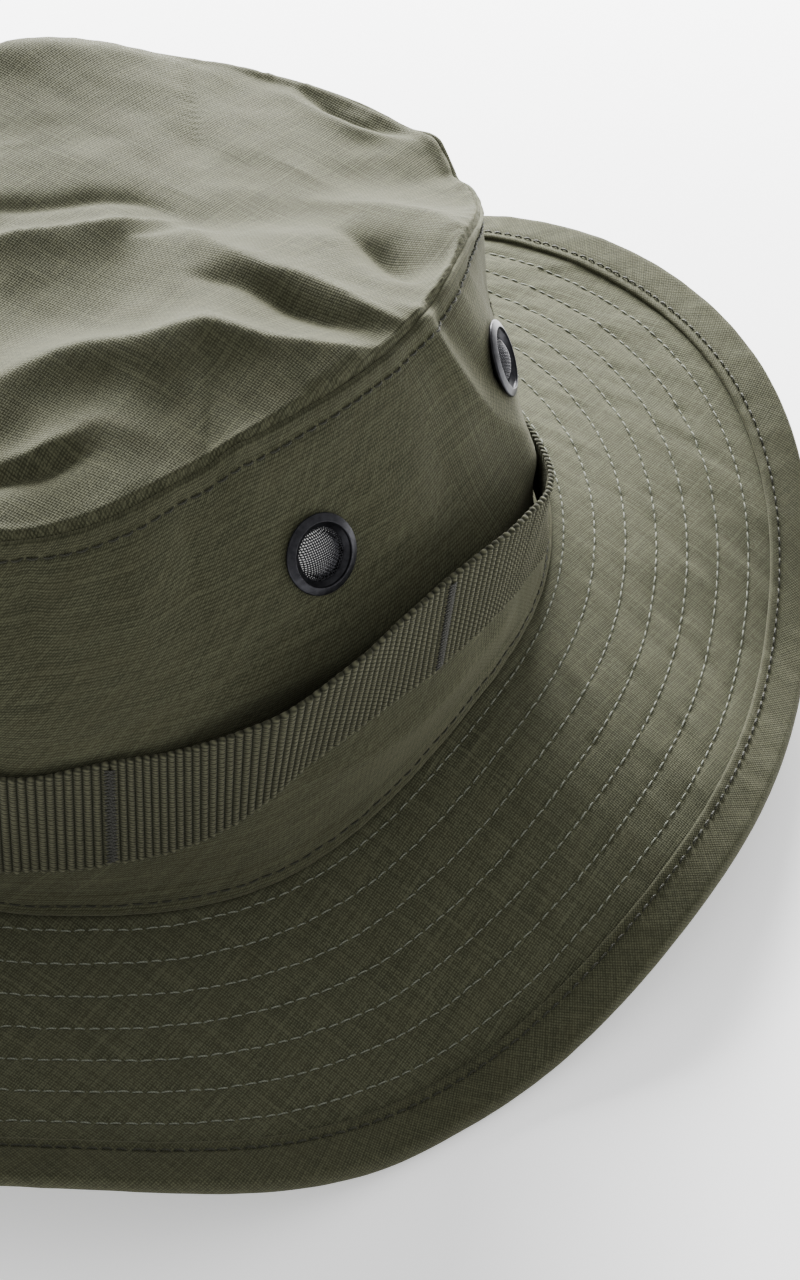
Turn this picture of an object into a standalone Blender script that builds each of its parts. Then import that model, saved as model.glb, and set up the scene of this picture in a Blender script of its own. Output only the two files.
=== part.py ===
"""A boonie hat for a 58 cm head, as an assembly of its cut cloth panels, webbing, vents and threads.

Every panel is swept round the hat from a closed cross-section. The brim rests on the ground at z = 0,
the front points along -Y and the wearer's left along +X. Driving dimensions are in millimetres and
are turned into metres as the points are placed.
"""

import math

import bmesh
import bpy
from mathutils import Vector

MM = 0.001
TURN = 2 * math.pi
AROUND = 48  # steps round the hat

# Head opening and crown
HEAD_HALF_LENGTH = 100.0
HEAD_HALF_WIDTH = 84.0
CROWN_HALF_LENGTH = 86.5
CROWN_HALF_WIDTH = 70.0
CROWN_LEAN = Vector((0.0, 3.5, 0.0))
WALL_BULGE = 8.0
DOME_RISE = 8.0
TOP_SPREADS = (0.0, 0.35, 0.7, 0.9)  # from the middle of the top outward
HEAD_CENTRE = Vector((-1.2, -0.5, 0.0))  # puts the middle of the brim's box on the origin

# Brim
BRIM_WIDTH = 62.0
BRIM_SAG = 0.22  # how much of its slack the brim hangs down between seam and edge
SAG_FREE_FALL = 20.0  # a brim that falls this far lies straight
BINDING_WIDTH = 10.0

# Heights above the ground at every 30 degrees, from the wearer's left and on round the back.
# A brim edge below the ground is pressed flat on it, which gives the hat its three resting places.
BRIM_EDGE_HEIGHTS = (14.5, 13.5, 31.5, 24.0, -7.0, 7.0, 5.0, -7.0, 9.0, 19.0, 25.5, -5.0)
SEAM_HEIGHTS = (37.0, 35.0, 32.5, 30.5, 31.0, 33.0, 33.0, 30.0, 31.0, 31.5, 29.0, 25.0)
CROWN_HEIGHTS = (118.0, 113.0, 98.0, 98.0, 104.0, 114.0, 116.0, 115.0, 113.0, 112.0, 113.0, 118.0)
CROWN_BULGES = (-7.0, -7.0, 0.0, 2.0, 1.0, 2.0, 1.0, 1.0, 1.0, 1.0, 1.0, -7.0)

# Places where the cloth bends, from seam to edge and from seam to top. Between them it is straight,
# so that neighbouring layers and the threads on them keep the same gap all the way.
BRIM_KNOTS = (0.0, 0.3, 0.58, 1 - BINDING_WIDTH / BRIM_WIDTH, 1.0)
WALL_KNOTS = (0.0, 0.12, 0.3, 0.48, 0.64, 0.85, 1.0)

# Cloth
CLOTH = 0.6
INTERLINING = 0.4
INTERLINING_START = 0.01  # share of the brim left free at the crown
BINDING_CLOTH = 0.5
BINDING_STITCH_INSET = 1.5  # from the tape's inner edge
FOLD_ROUNDING = 0.2  # share of the brim's thickness that each corner of the fold takes
GAP = 0.3  # clearance between neighbouring layers
SEAM_ALLOWANCE = 8.0
WALL_HEIGHT = 80.0  # the wall between its seams, to lay out the stitching and allowances
WALL_LENGTH = 82.0  # along the wall's curve, to lay out the webbing
BRIM_STACK = 2 * CLOTH + INTERLINING + 2 * GAP  # upper cloth, interlining and under cloth
GROUND = BRIM_STACK + GAP + BINDING_CLOTH  # the upper face's height where the binding rests
CLOTH_EDGE = 1 - 2 * (GAP + CLOTH) / BRIM_WIDTH  # where the brim's cloth ends inside the binding

# Sweatband and care label
SWEATBAND_HEIGHT = 30.0
LABEL_RISES = (0.05, *WALL_KNOTS[1:3])
LABEL_CLOTH = 0.4

# Branch loop band: a webbing tacked down eight times, with loops that stand open between the tacks
WEBBING_WIDTH = 25.0
WEBBING_CLOTH = 1.4
WEBBING_GAP = 0.9  # clears the bends of the wall behind it
WEBBING_FOOT = (18.0, 15.0)  # height of the lower edge above the seam at the left side and the front
LOOPS = 8
STEPS_PER_LOOP = 10
FIRST_TACK = math.radians(-52.7)
LOOP_FOOT_OPENING = 0.4  # how far its lower edge stands out
LOOP_OPENINGS = (8.5, 8.5, 3.0, 2.5, 3.0, 2.5, 3.0, 1.0)  # how far each loop's upper edge stands out
TACK_THREAD = 0.8
TACK_INSET = 0.5  # short of the webbing's two edges
TACK_HALF_WIDTH = 1.1

# Vents: an eyelet, a domed screen and a backing washer, two on each side
VENT_RISE = 0.745
VENT_OFFSET = math.radians(22.3)
VENT_RADIUS = 8.0
VENT_THROAT = 4.9
VENT_BARREL = 5.6
VENT_HOLE = 5.9
FLANGE_SEAT = 0.4  # height of the flange's underside above the wall
FLANGE_RIM = 0.5
FLANGE_CROWN = 1.3  # how high the flange rises over its seat
FLANGE_BEVEL = 1.2
FLANGE_LIP = 0.6  # how far the flange reaches in over the screen
CLINCH_WIDTH = 0.9
CLINCH_CLOTH = 0.4
SCREEN_DOME = 0.7
SCREEN_CLOTH = 0.4
SCREEN_RIM = 0.7  # the flat ring round the dome
SCREEN_GAP = 0.1  # between the dome's foot and the flange's seat
WASHER_DEPTH = 1.5  # depth of the washer's face, clear of the curve of the wall
WASHER_CLOTH = 0.6
WASHER_RADIUS = 7.5
HOLE_REACH = 3.0  # how far the hole's cutter goes each way from the wall
VENT_STEPS = 16

# Threads
THREAD = 0.5
THREAD_GAP = 0.55
BRIM_ROWS = 7
FIRST_ROW = 3.5
ROW_SPACING = 7.2
CROWN_TOPSTITCH_DROP = 3.0
BRIM_TOPSTITCH_RISE = 2.5

COLOURS = {
    "crown cloth": (0.105, 0.110, 0.072),
    "brim cloth": (0.075, 0.080, 0.052),
    "binding cloth": (0.070, 0.075, 0.050),
    "interlining": (0.55, 0.54, 0.50),
    "webbing": (0.085, 0.090, 0.058),
    "sweatband cloth": (0.060, 0.065, 0.042),
    "label cloth": (0.40, 0.40, 0.36),
    "light thread": (0.22, 0.24, 0.19),
    "dark thread": (0.035, 0.038, 0.028),
    "blackened brass": (0.02, 0.02, 0.022),
    "woven screen": (0.015, 0.015, 0.017),
}
METALS = {"blackened brass": 0.9, "woven screen": 0.7}


def clear_scene():
    for item in list(bpy.data.objects):
        bpy.data.objects.remove(item, do_unlink=True)


def make_collection(name):
    collection = bpy.data.collections.new(name)
    bpy.context.scene.collection.children.link(collection)
    return collection


def make_material(name):
    material = bpy.data.materials.new(name)
    material.use_nodes = True
    shader = material.node_tree.nodes["Principled BSDF"]
    shader.inputs["Base Color"].default_value = (*COLOURS[name], 1.0)
    shader.inputs["Metallic"].default_value = METALS.get(name, 0.0)
    shader.inputs["Roughness"].default_value = 0.35 if name in METALS else 0.85
    return material


def around(values, angle):
    """Evenly spaced values round the hat, read as one smooth closed curve."""
    count = len(values)
    place = (angle / TURN) % 1.0 * count
    step = int(place)
    t = place - step
    before, here, after, beyond = (values[(step + k) % count] for k in (-1, 0, 1, 2))
    slope = (after - before) / 2
    next_slope = (beyond - here) / 2
    rise = after - here
    bend = 3 * rise - 2 * slope - next_slope
    twist = slope + next_slope - 2 * rise
    return here + t * (slope + t * (bend + t * twist))


def straightened(curve, knots, place):
    """Read a curve along the straight lines between its knots."""
    last = len(knots) - 2
    step = next((k for k in range(last + 1) if place <= knots[k + 1]), last)
    low, high = knots[step], knots[step + 1]
    part = (place - low) / (high - low)
    return curve(low) * (1 - part) + curve(high) * part


def oval(half_length, half_width, angle):
    """A point on an oval lying on the ground, and the direction outward from it."""
    point = Vector((half_width * math.cos(angle), half_length * math.sin(angle), 0.0))
    outward = Vector((math.cos(angle) / half_width, math.sin(angle) / half_length, 0.0)).normalized()
    return point, outward


def seam(angle):
    """Where the brim's upper face meets the crown wall."""
    foot, outward = oval(HEAD_HALF_LENGTH, HEAD_HALF_WIDTH, angle)
    foot += HEAD_CENTRE
    foot.z = around(SEAM_HEIGHTS, angle)
    return foot, outward


def crown_seam(angle):
    """Where the crown wall meets the crown top."""
    top, outward = oval(CROWN_HALF_LENGTH, CROWN_HALF_WIDTH, angle)
    top += HEAD_CENTRE + CROWN_LEAN + outward * around(CROWN_BULGES, angle)
    top.z = around(CROWN_HEIGHTS, angle)
    return top


def wall(angle, rise, depth=0.0):
    """A point on the crown wall: rise runs from 0 at the brim to 1 at the top, depth goes inward."""
    foot, outward = seam(angle)
    foot.z += GAP
    point = foot.lerp(crown_seam(angle), rise)
    bulge = straightened(lambda r: 4 * WALL_BULGE * r * (1 - r), WALL_KNOTS, rise)
    return point + outward * (bulge - depth)


def brim(angle, span, drop=0.0):
    """A point on the brim: span runs from 0 at the crown to 1 at the edge, drop goes down."""
    foot, outward = seam(angle)
    fall = foot.z - around(BRIM_EDGE_HEIGHTS, angle)
    reach = math.sqrt(BRIM_WIDTH**2 - fall**2)
    slack = max(0.0, SAG_FREE_FALL - fall) * BRIM_SAG

    def height(place):
        return max(foot.z - fall * place - 4 * slack * place * (1 - place), GROUND)

    point = foot + outward * reach * span
    point.z = straightened(height, BRIM_KNOTS, span) - drop
    return point


def crown_top_point(angle, spread, drop=0.0):
    """A point on the crown top: spread runs from 0 at the middle to 1 at the seam."""
    rim = crown_seam(angle)
    middle = HEAD_CENTRE + CROWN_LEAN + Vector((0, 0, sum(CROWN_HEIGHTS) / len(CROWN_HEIGHTS)))
    point = middle.lerp(rim, spread)
    point.z += DOME_RISE * (1 - spread * spread) - drop
    return point


def sweep(collection, name, section, material, steps=AROUND, start=0.0, end=TURN):
    """Sweep a closed section, a list of points for each angle, once round the hat.

    The grid's rows go round the section and its columns round the hat, and both seams are welded.
    A section swept over less than a full turn has its two ends filled.
    """
    count = len(section(start))
    skin = bmesh.new()
    bmesh.ops.create_grid(skin, x_segments=steps, y_segments=count, size=1.0)
    rings = [section(start + (end - start) * k / steps) for k in range(steps + 1)]
    for vertex in skin.verts:
        column = round((vertex.co.x + 1) / 2 * steps)
        row = round((vertex.co.y + 1) / 2 * count)
        vertex.co = rings[column][row % count] * MM
    bmesh.ops.remove_doubles(skin, verts=skin.verts, dist=0.01 * MM)
    open_edges = [edge for edge in skin.edges if edge.is_boundary]
    if open_edges:
        bmesh.ops.holes_fill(skin, edges=open_edges, sides=0)
    # The shorter diagonal is the same one in every layer, so twisted layers stay parallel.
    bmesh.ops.triangulate(skin, faces=skin.faces, quad_method="SHORT_EDGE")
    return finish(collection, name, skin, material)


def finish(collection, name, skin, material):
    bmesh.ops.recalc_face_normals(skin, faces=skin.faces)
    mesh = bpy.data.meshes.new(name)
    skin.to_mesh(mesh)
    skin.free()
    mesh.materials.append(material)
    mesh.shade_smooth()
    mesh.set_sharp_from_angle(angle=math.radians(35))
    piece = bpy.data.objects.new(name, mesh)
    collection.objects.link(piece)
    return piece


def strip(inner, outer, places):
    """A closed section from two faces of a cloth, each a function of the place along it."""
    return [outer(place) for place in places] + [inner(place) for place in reversed(places)]


def make_crown_side(collection, material):

    def section(angle):
        return strip(lambda r: wall(angle, r, CLOTH), lambda r: wall(angle, r), WALL_KNOTS)

    return sweep(collection, "crown_side", section, material)


def make_crown_top(collection, material):
    """The oval top: domed, with its seam allowance turned down inside the crown wall."""
    tuck = CLOTH + GAP
    lift = Vector((0, 0, GAP + CLOTH))

    def section(angle):
        upper = [crown_top_point(angle, s) + lift for s in TOP_SPREADS]
        lower = [point - Vector((0, 0, CLOTH)) for point in upper]
        allowance = 1 - SEAM_ALLOWANCE / WALL_HEIGHT
        rim = [
            wall(angle, 1.0) + lift,
            wall(angle, 1.0) + lift * (GAP / lift.z),
            wall(angle, 1.0, tuck) + lift * (GAP / lift.z),
            wall(angle, allowance, tuck),
            wall(angle, allowance, tuck + CLOTH),
            wall(angle, 1.0, tuck + CLOTH),
        ]
        return upper + rim + lower[::-1]

    sweep(collection, "crown_top", section, material)


def brim_cloth(collection, name, material, drop, depth):
    """A ring of brim cloth with its seam allowance turned up inside the crown wall."""
    spans = (*BRIM_KNOTS[:-1], CLOTH_EDGE)
    rise = SEAM_ALLOWANCE / WALL_HEIGHT

    def section(angle):
        _, outward = seam(angle)
        corner = brim(angle, 0.0, drop) - outward * depth
        inner_corner = corner - outward * CLOTH - Vector((0, 0, CLOTH))
        upper = [brim(angle, s, drop) for s in spans]
        lower = [brim(angle, s, drop + CLOTH) for s in reversed(spans)]
        allowance = [wall(angle, rise, depth), wall(angle, rise, depth + CLOTH)]
        return [corner, *upper, *lower, inner_corner, allowance[1], allowance[0]]

    sweep(collection, name, section, material)


def make_interlining(collection, material):
    """The stiff layer quilted between the two brim cloths."""
    spans = (INTERLINING_START, *BRIM_KNOTS[1:-1], CLOTH_EDGE)
    top = CLOTH + GAP

    def section(angle):
        return strip(
            lambda s: brim(angle, s, top + INTERLINING),
            lambda s: brim(angle, s, top),
            spans,
        )

    sweep(collection, "brim_interlining", section, material)


def make_binding(collection, material):
    """A bias tape folded round the brim's edge, its two halves on the upper and the under cloth."""
    inner = 1 - BINDING_WIDTH / BRIM_WIDTH
    fold = 1 - (BINDING_CLOTH + GAP) / BRIM_WIDTH
    above = GAP
    below = BRIM_STACK + GAP

    def section(angle):
        outside = [
            brim(angle, inner, -above - BINDING_CLOTH),
            brim(angle, fold, -above - BINDING_CLOTH),
            brim(angle, 1.0, BRIM_STACK * FOLD_ROUNDING),
            brim(angle, 1.0, BRIM_STACK * (1 - FOLD_ROUNDING)),
            brim(angle, fold, below + BINDING_CLOTH),
            brim(angle, inner, below + BINDING_CLOTH),
        ]
        inside = [
            brim(angle, inner, below),
            brim(angle, CLOTH_EDGE, below),
            brim(angle, fold, below),
            brim(angle, fold, -above),
            brim(angle, CLOTH_EDGE, -above),
            brim(angle, inner, -above),
        ]
        return outside + inside

    sweep(collection, "brim_edge_binding", section, material)


def make_sweatband(collection, material):
    """A cotton tape inside the crown, over both turned-up seam allowances."""
    depth = 3 * (CLOTH + GAP)
    rises = (0.0, *WALL_KNOTS[1:3], SWEATBAND_HEIGHT / WALL_HEIGHT)

    def section(angle):
        return strip(lambda r: wall(angle, r, depth + CLOTH), lambda r: wall(angle, r, depth), rises)

    sweep(collection, "sweatband", section, material)


def make_label(collection, material):
    """A blank cloth label at the back of the sweatband."""
    depth = 4 * (CLOTH + GAP)
    back = TURN / 4
    step = TURN / AROUND

    def section(angle):
        return strip(
            lambda r: wall(angle, r, depth + LABEL_CLOTH),
            lambda r: wall(angle, r, depth),
            LABEL_RISES,
        )

    sweep(collection, "care_label", section, material, 2, back - step, back + step)


def tack_angles():
    """Angles that split the webbing into loops of equal length round the wall."""
    fine = 720
    lengths = [0.0]
    for step in range(fine):
        here, _ = oval(HEAD_HALF_LENGTH, HEAD_HALF_WIDTH, FIRST_TACK + TURN * step / fine)
        there, _ = oval(HEAD_HALF_LENGTH, HEAD_HALF_WIDTH, FIRST_TACK + TURN * (step + 1) / fine)
        lengths.append(lengths[-1] + (there - here).length)
    angles = []
    for loop in range(LOOPS):
        wanted = lengths[-1] * loop / LOOPS
        step = next(k for k in range(fine) if lengths[k + 1] > wanted)
        part = (wanted - lengths[step]) / (lengths[step + 1] - lengths[step])
        angles.append(FIRST_TACK + TURN * (step + part) / fine)
    return angles + [FIRST_TACK + TURN]


def webbing_point(angle, height, out):
    """A point beside the crown wall, height above the seam and out from the wall's face."""
    side, front = WEBBING_FOOT
    foot = side + (front - side) * math.sin(angle) ** 2
    rise = (foot + height) / WALL_LENGTH
    return wall(angle, rise, -out)


def webbing_section(angle, opening, ease):
    """The webbing's four corners; its upper edge leans out by opening, eased to 0 at a tack."""
    top = WEBBING_GAP + opening * ease
    low = WEBBING_GAP + LOOP_FOOT_OPENING * ease
    return [
        webbing_point(angle, 0.0, low + WEBBING_CLOTH),
        webbing_point(angle, WEBBING_WIDTH / 2, (low + top) / 2 + WEBBING_CLOTH),
        webbing_point(angle, WEBBING_WIDTH, top + WEBBING_CLOTH),
        webbing_point(angle, WEBBING_WIDTH, top),
        webbing_point(angle, WEBBING_WIDTH / 2, (low + top) / 2),
        webbing_point(angle, 0.0, low),
    ]


def make_loop_band(collection, material):
    tacks = tack_angles()
    steps = LOOPS * STEPS_PER_LOOP

    def section(angle):
        turn = (angle - FIRST_TACK) / TURN * steps
        loop = min(int(round(turn)) // STEPS_PER_LOOP, LOOPS - 1)
        part = turn / STEPS_PER_LOOP - loop
        here = tacks[loop] + (tacks[loop + 1] - tacks[loop]) * part
        ease = math.sin(math.pi * min(max(part, 0.0), 1.0)) ** 2
        return webbing_section(here, LOOP_OPENINGS[loop], ease)

    sweep(collection, "branch_loop_band", section, material, steps, FIRST_TACK, FIRST_TACK + TURN)


def make_bar_tacks(collection, material):
    """One upright bar of thread at each tack, over the webbing."""
    near = WEBBING_GAP + WEBBING_CLOTH + GAP
    half = TACK_HALF_WIDTH / HEAD_HALF_LENGTH
    heights = (TACK_INSET, WEBBING_WIDTH / 2, WEBBING_WIDTH - TACK_INSET)

    for number, angle in enumerate(tack_angles()[:LOOPS], start=1):

        def section(place):
            return strip(
                lambda height: webbing_point(place, height, near),
                lambda height: webbing_point(place, height, near + TACK_THREAD),
                heights,
            )

        name = f"bar_tack_{number}"
        sweep(collection, name, section, material, 1, angle - half, angle + half)


def thread_ring(collection, name, material, point):
    """A row of stitching, as one closed thread of three sides that follows point(angle)."""

    def section(angle):
        middle = point(angle)
        _, outward = seam(angle)
        corners = []
        for side in range(3):
            turn = TURN * (side / 3) + TURN / 12
            spoke = outward * math.cos(turn) + Vector((0, 0, math.sin(turn)))
            corners.append(middle + spoke * THREAD / 2)
        return corners

    sweep(collection, name, section, material)


def make_threads(collection, light, dark):
    above = THREAD_GAP + THREAD / 2
    for row in range(BRIM_ROWS):
        span = (FIRST_ROW + ROW_SPACING * row) / BRIM_WIDTH
        name = f"brim_stitch_row_{row + 1}"
        thread_ring(collection, name, light, lambda angle: brim(angle, span, -above))
    over_binding = above + GAP + BINDING_CLOTH
    binding_row = 1 - (BINDING_WIDTH - BINDING_STITCH_INSET) / BRIM_WIDTH
    thread_ring(collection, "binding_stitch", dark, lambda a: brim(a, binding_row, -over_binding))
    crown_row = 1 - CROWN_TOPSTITCH_DROP / WALL_HEIGHT
    thread_ring(collection, "crown_seam_topstitch", dark, lambda a: wall(a, crown_row, -above))
    brim_row = BRIM_TOPSTITCH_RISE / WALL_HEIGHT
    thread_ring(collection, "brim_seam_topstitch", dark, lambda a: wall(a, brim_row, -above))


def turned(collection, name, material, profile, centre, axis):
    """Turn a closed outline of (radius, height) pairs round the axis, where it meets the wall."""
    side = axis.cross(Vector((0, 0, 1))).normalized()
    up = side.cross(axis).normalized()

    def section(angle):
        spoke = side * math.cos(angle) + up * math.sin(angle)
        return [centre + spoke * radius + axis * height for radius, height in profile]

    return sweep(collection, name, section, material, VENT_STEPS)


def vent_frame(angle):
    """Centre and outward axis of a vent on the crown wall."""
    step = 0.01
    centre = wall(angle, VENT_RISE)
    along = wall(angle + step, VENT_RISE) - wall(angle - step, VENT_RISE)
    up = wall(angle, VENT_RISE + step) - wall(angle, VENT_RISE - step)
    return centre, along.cross(up).normalized()


def vent_outlines():
    """Outlines of the eyelet, its screen, the washer and the hole, as (radius, height) pairs."""
    seat = FLANGE_SEAT
    lip = VENT_THROAT - FLANGE_LIP
    back = -WASHER_DEPTH - WASHER_CLOTH
    clinch = back - GAP
    eyelet = [
        (VENT_RADIUS, seat),
        (VENT_RADIUS, seat + FLANGE_RIM),
        (VENT_RADIUS - FLANGE_BEVEL, seat + FLANGE_CROWN),
        (lip, seat + FLANGE_CROWN - CLINCH_CLOTH),
        (lip, seat + FLANGE_RIM),
        (VENT_THROAT, seat + FLANGE_RIM - GAP),
        (VENT_THROAT, clinch - CLINCH_CLOTH),
        (VENT_BARREL + CLINCH_WIDTH, clinch - CLINCH_CLOTH),
        (VENT_BARREL + CLINCH_WIDTH, clinch),
        (VENT_BARREL, clinch),
        (VENT_BARREL, seat),
    ]
    screen_edge = VENT_THROAT - GAP
    screen_face = seat - SCREEN_GAP
    screen = [
        (0.0, seat + SCREEN_DOME),
        (screen_edge - SCREEN_RIM, screen_face),
        (screen_edge, screen_face),
        (screen_edge, screen_face - SCREEN_CLOTH),
        (0.0, screen_face - SCREEN_CLOTH),
    ]
    washer = [
        (WASHER_RADIUS, back),
        (WASHER_RADIUS, -WASHER_DEPTH),
        (VENT_HOLE, -WASHER_DEPTH),
        (VENT_HOLE, back),
    ]
    hole = [(0.0, HOLE_REACH), (VENT_HOLE, HOLE_REACH), (VENT_HOLE, -HOLE_REACH), (0.0, -HOLE_REACH)]
    return eyelet, screen, washer, hole


def make_vents(collection, cutters, crown_side, metal, screen_material):
    """Four vents: an eyelet through a hole in the wall, clinched over a washer, holding a screen."""
    places = {
        "left_front": -VENT_OFFSET,
        "left_rear": VENT_OFFSET,
        "right_rear": TURN / 2 - VENT_OFFSET,
        "right_front": TURN / 2 + VENT_OFFSET,
    }
    eyelet, screen, washer, hole = vent_outlines()
    for place, angle in places.items():
        centre, axis = vent_frame(angle)
        turned(collection, f"vent_eyelet_{place}", metal, eyelet, centre, axis)
        turned(collection, f"vent_screen_{place}", screen_material, screen, centre, axis)
        turned(collection, f"vent_washer_{place}", metal, washer, centre, axis)
        cutter = turned(cutters, f"vent_hole_{place}", metal, hole, centre, axis)
        cutter.hide_render = True
        cutter.display_type = "WIRE"
        cut = crown_side.modifiers.new(f"vent hole {place}", "BOOLEAN")
        cut.operation = "DIFFERENCE"
        cut.object = cutter


def main():
    clear_scene()
    collection = make_collection("boonie_hat")
    cutters = make_collection("cutters")
    looks = {name: make_material(name) for name in COLOURS}
    make_crown_top(collection, looks["crown cloth"])
    crown_side = make_crown_side(collection, looks["crown cloth"])
    brim_cloth(collection, "brim_upper", looks["brim cloth"], 0.0, CLOTH + GAP)
    under_drop = CLOTH + INTERLINING + 2 * GAP
    brim_cloth(collection, "brim_under", looks["brim cloth"], under_drop, 2 * (CLOTH + GAP))
    make_interlining(collection, looks["interlining"])
    make_binding(collection, looks["binding cloth"])
    make_sweatband(collection, looks["sweatband cloth"])
    make_label(collection, looks["label cloth"])
    make_loop_band(collection, looks["webbing"])
    make_bar_tacks(collection, looks["dark thread"])
    make_threads(collection, looks["light thread"], looks["dark thread"])
    make_vents(collection, cutters, crown_side, looks["blackened brass"], looks["woven screen"])


main()
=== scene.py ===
"""The looks of a boonie hat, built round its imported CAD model.

Every cloth panel is a dense sheet swept round the hat from the same shape formulas as the CAD, with folds,
seams and quilting sculpted into it, and every stitch, rib and wire is real geometry. Lengths are in
millimetres and become metres as a mesh is made. Angles run from the wearer's left (+X) round the back (+Y).
"""

import math

import bmesh
import bpy
import numpy as np
from mathutils import Matrix, Vector


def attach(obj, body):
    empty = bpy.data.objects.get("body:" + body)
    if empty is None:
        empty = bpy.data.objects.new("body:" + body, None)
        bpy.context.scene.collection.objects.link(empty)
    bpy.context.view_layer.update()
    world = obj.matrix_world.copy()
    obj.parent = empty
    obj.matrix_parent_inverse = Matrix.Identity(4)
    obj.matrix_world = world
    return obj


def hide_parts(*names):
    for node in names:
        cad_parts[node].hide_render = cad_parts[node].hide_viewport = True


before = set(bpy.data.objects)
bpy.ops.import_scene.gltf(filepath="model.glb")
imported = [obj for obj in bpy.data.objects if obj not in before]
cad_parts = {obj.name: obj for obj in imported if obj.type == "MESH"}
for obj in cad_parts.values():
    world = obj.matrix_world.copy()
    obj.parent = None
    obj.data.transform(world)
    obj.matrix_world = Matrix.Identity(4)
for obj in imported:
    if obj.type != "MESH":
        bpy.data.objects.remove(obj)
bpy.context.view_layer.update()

MM = 0.001
TURN = 2 * math.pi

# Shape of the hat, as in the CAD apart from a flatter dome, which the folds stand on
HEAD_HALF_LENGTH = 100.0
HEAD_HALF_WIDTH = 84.0
CROWN_HALF_LENGTH = 86.5
CROWN_HALF_WIDTH = 70.0
CROWN_LEAN = np.array([0.0, 3.5, 0.0])
WALL_HEIGHT = 82.0
WALL_BULGE = 8.0
DOME_RISE = 5.0
HEAD_CENTRE = np.array([-1.2, -0.5, 0.0])
BRIM_WIDTH = 62.0
BRIM_SAG = 0.22
SAG_FREE_FALL = 20.0
BINDING_WIDTH = 10.0
BRIM_EDGE_HEIGHTS = (14.5, 13.5, 31.5, 24, -7, 7, 5, -7, 9, 19, 25.5, 2)
SEAM_HEIGHTS = (37, 35, 32.5, 30.5, 31, 33, 33, 30, 31, 31.5, 29, 25)
CROWN_HEIGHTS = (118, 113, 98, 98, 104, 114, 116, 115, 113, 112, 113, 118)
CROWN_BULGES = (-7, -7, 0, 2, 1, 2, 1, 1, 1, 1, 1, -7)

# Cloth and layers
CLOTH = 0.6
INTERLINING = 0.4
RIPSTOP_THREADS = 9.0  # threads from one strong thread to the next
BINDING_CLOTH = 0.5
GAP = 0.3
BRIM_STACK = 2 * CLOTH + INTERLINING + 2 * GAP
GROUND = BRIM_STACK + GAP + BINDING_CLOTH
GROUND_SOFTNESS = 1.5  # wider than in the CAD, so that the brim lifts off in a rounder bend
CLOTH_EDGE = 1 - 3 * (GAP + CLOTH) / BRIM_WIDTH
BINDING_INNER = 1 - BINDING_WIDTH / BRIM_WIDTH
SWEATBAND_HEIGHT = 30.0

# Stitching
THREAD = 0.34
STITCH_SHARE = 0.82  # of the pitch; the rest is the gap to the next stitch
BRIM_ROWS = 7
FIRST_ROW = 3.5
ROW_SPACING = 7.2
BRIM_PITCH = 2.8
SEAM_PITCH = 3.0
BINDING_ROW = 1 - (BINDING_WIDTH - 2.0) / BRIM_WIDTH
CROWN_TOPSTITCH = 1 - 3.0 / WALL_HEIGHT
BRIM_TOPSTITCH = 2.6 / WALL_HEIGHT

# Webbing: heights of its lower edge and how far it leans out in degrees, at six places in each loop
WEBBING_WIDTH = 25.0
WEBBING_LENGTH = 576.0
WEBBING_CLOTH = 1.3
WEBBING_GAP = 0.7
RIB_PITCH = 1.6
RIB_HEIGHT = 0.5
FIRST_TACK = math.radians(-52.7)
LOOPS = 8
LOWER_EDGES = (
    (16.5, 16.8, 19.5, 24, 26.5, 26.5),
    (25, 24, 22.5, 19.5, 16.5, 14.5),
    (14, 14.5, 15.5, 17, 17.5, 17),
    (16.5, 16.5, 17, 17.5, 17, 16.5),
    (16.5, 17, 18.5, 19.5, 18.5, 17.5),
    (17.5, 17.5, 18, 18, 18, 17.5),
    (17, 16.5, 16, 16, 15.5, 15),
    (15, 14.5, 14, 13.5, 14, 15),
)
LEANS = (
    (0, 1.5, 7.5, 15.5, 18, 16),
    (13, 14.5, 14, 9, 2, 0),
    (0, 0, 2, 3, 2, 0),
    (1, 2, 4, 5, 3, 1),
    (1, 5, 12, 15, 12, 5),
    (1, 3, 6, 7, 5, 3),
    (1, 2, 4, 5, 3, 1),
    (0, 1, 1, 0, 0, 0),
)

# Vents
VENT_RISE = 0.745
VENT_OFFSET = math.radians(22.3)
VENT_RADIUS = 8.0
VENT_HOLE = 5.9
SCREEN_RADIUS = 4.6
LIP_RADIUS = 6.3  # inner edge of the flange, round the screen
WIRE_SPACING = 0.46
WIRE = 0.27

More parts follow.
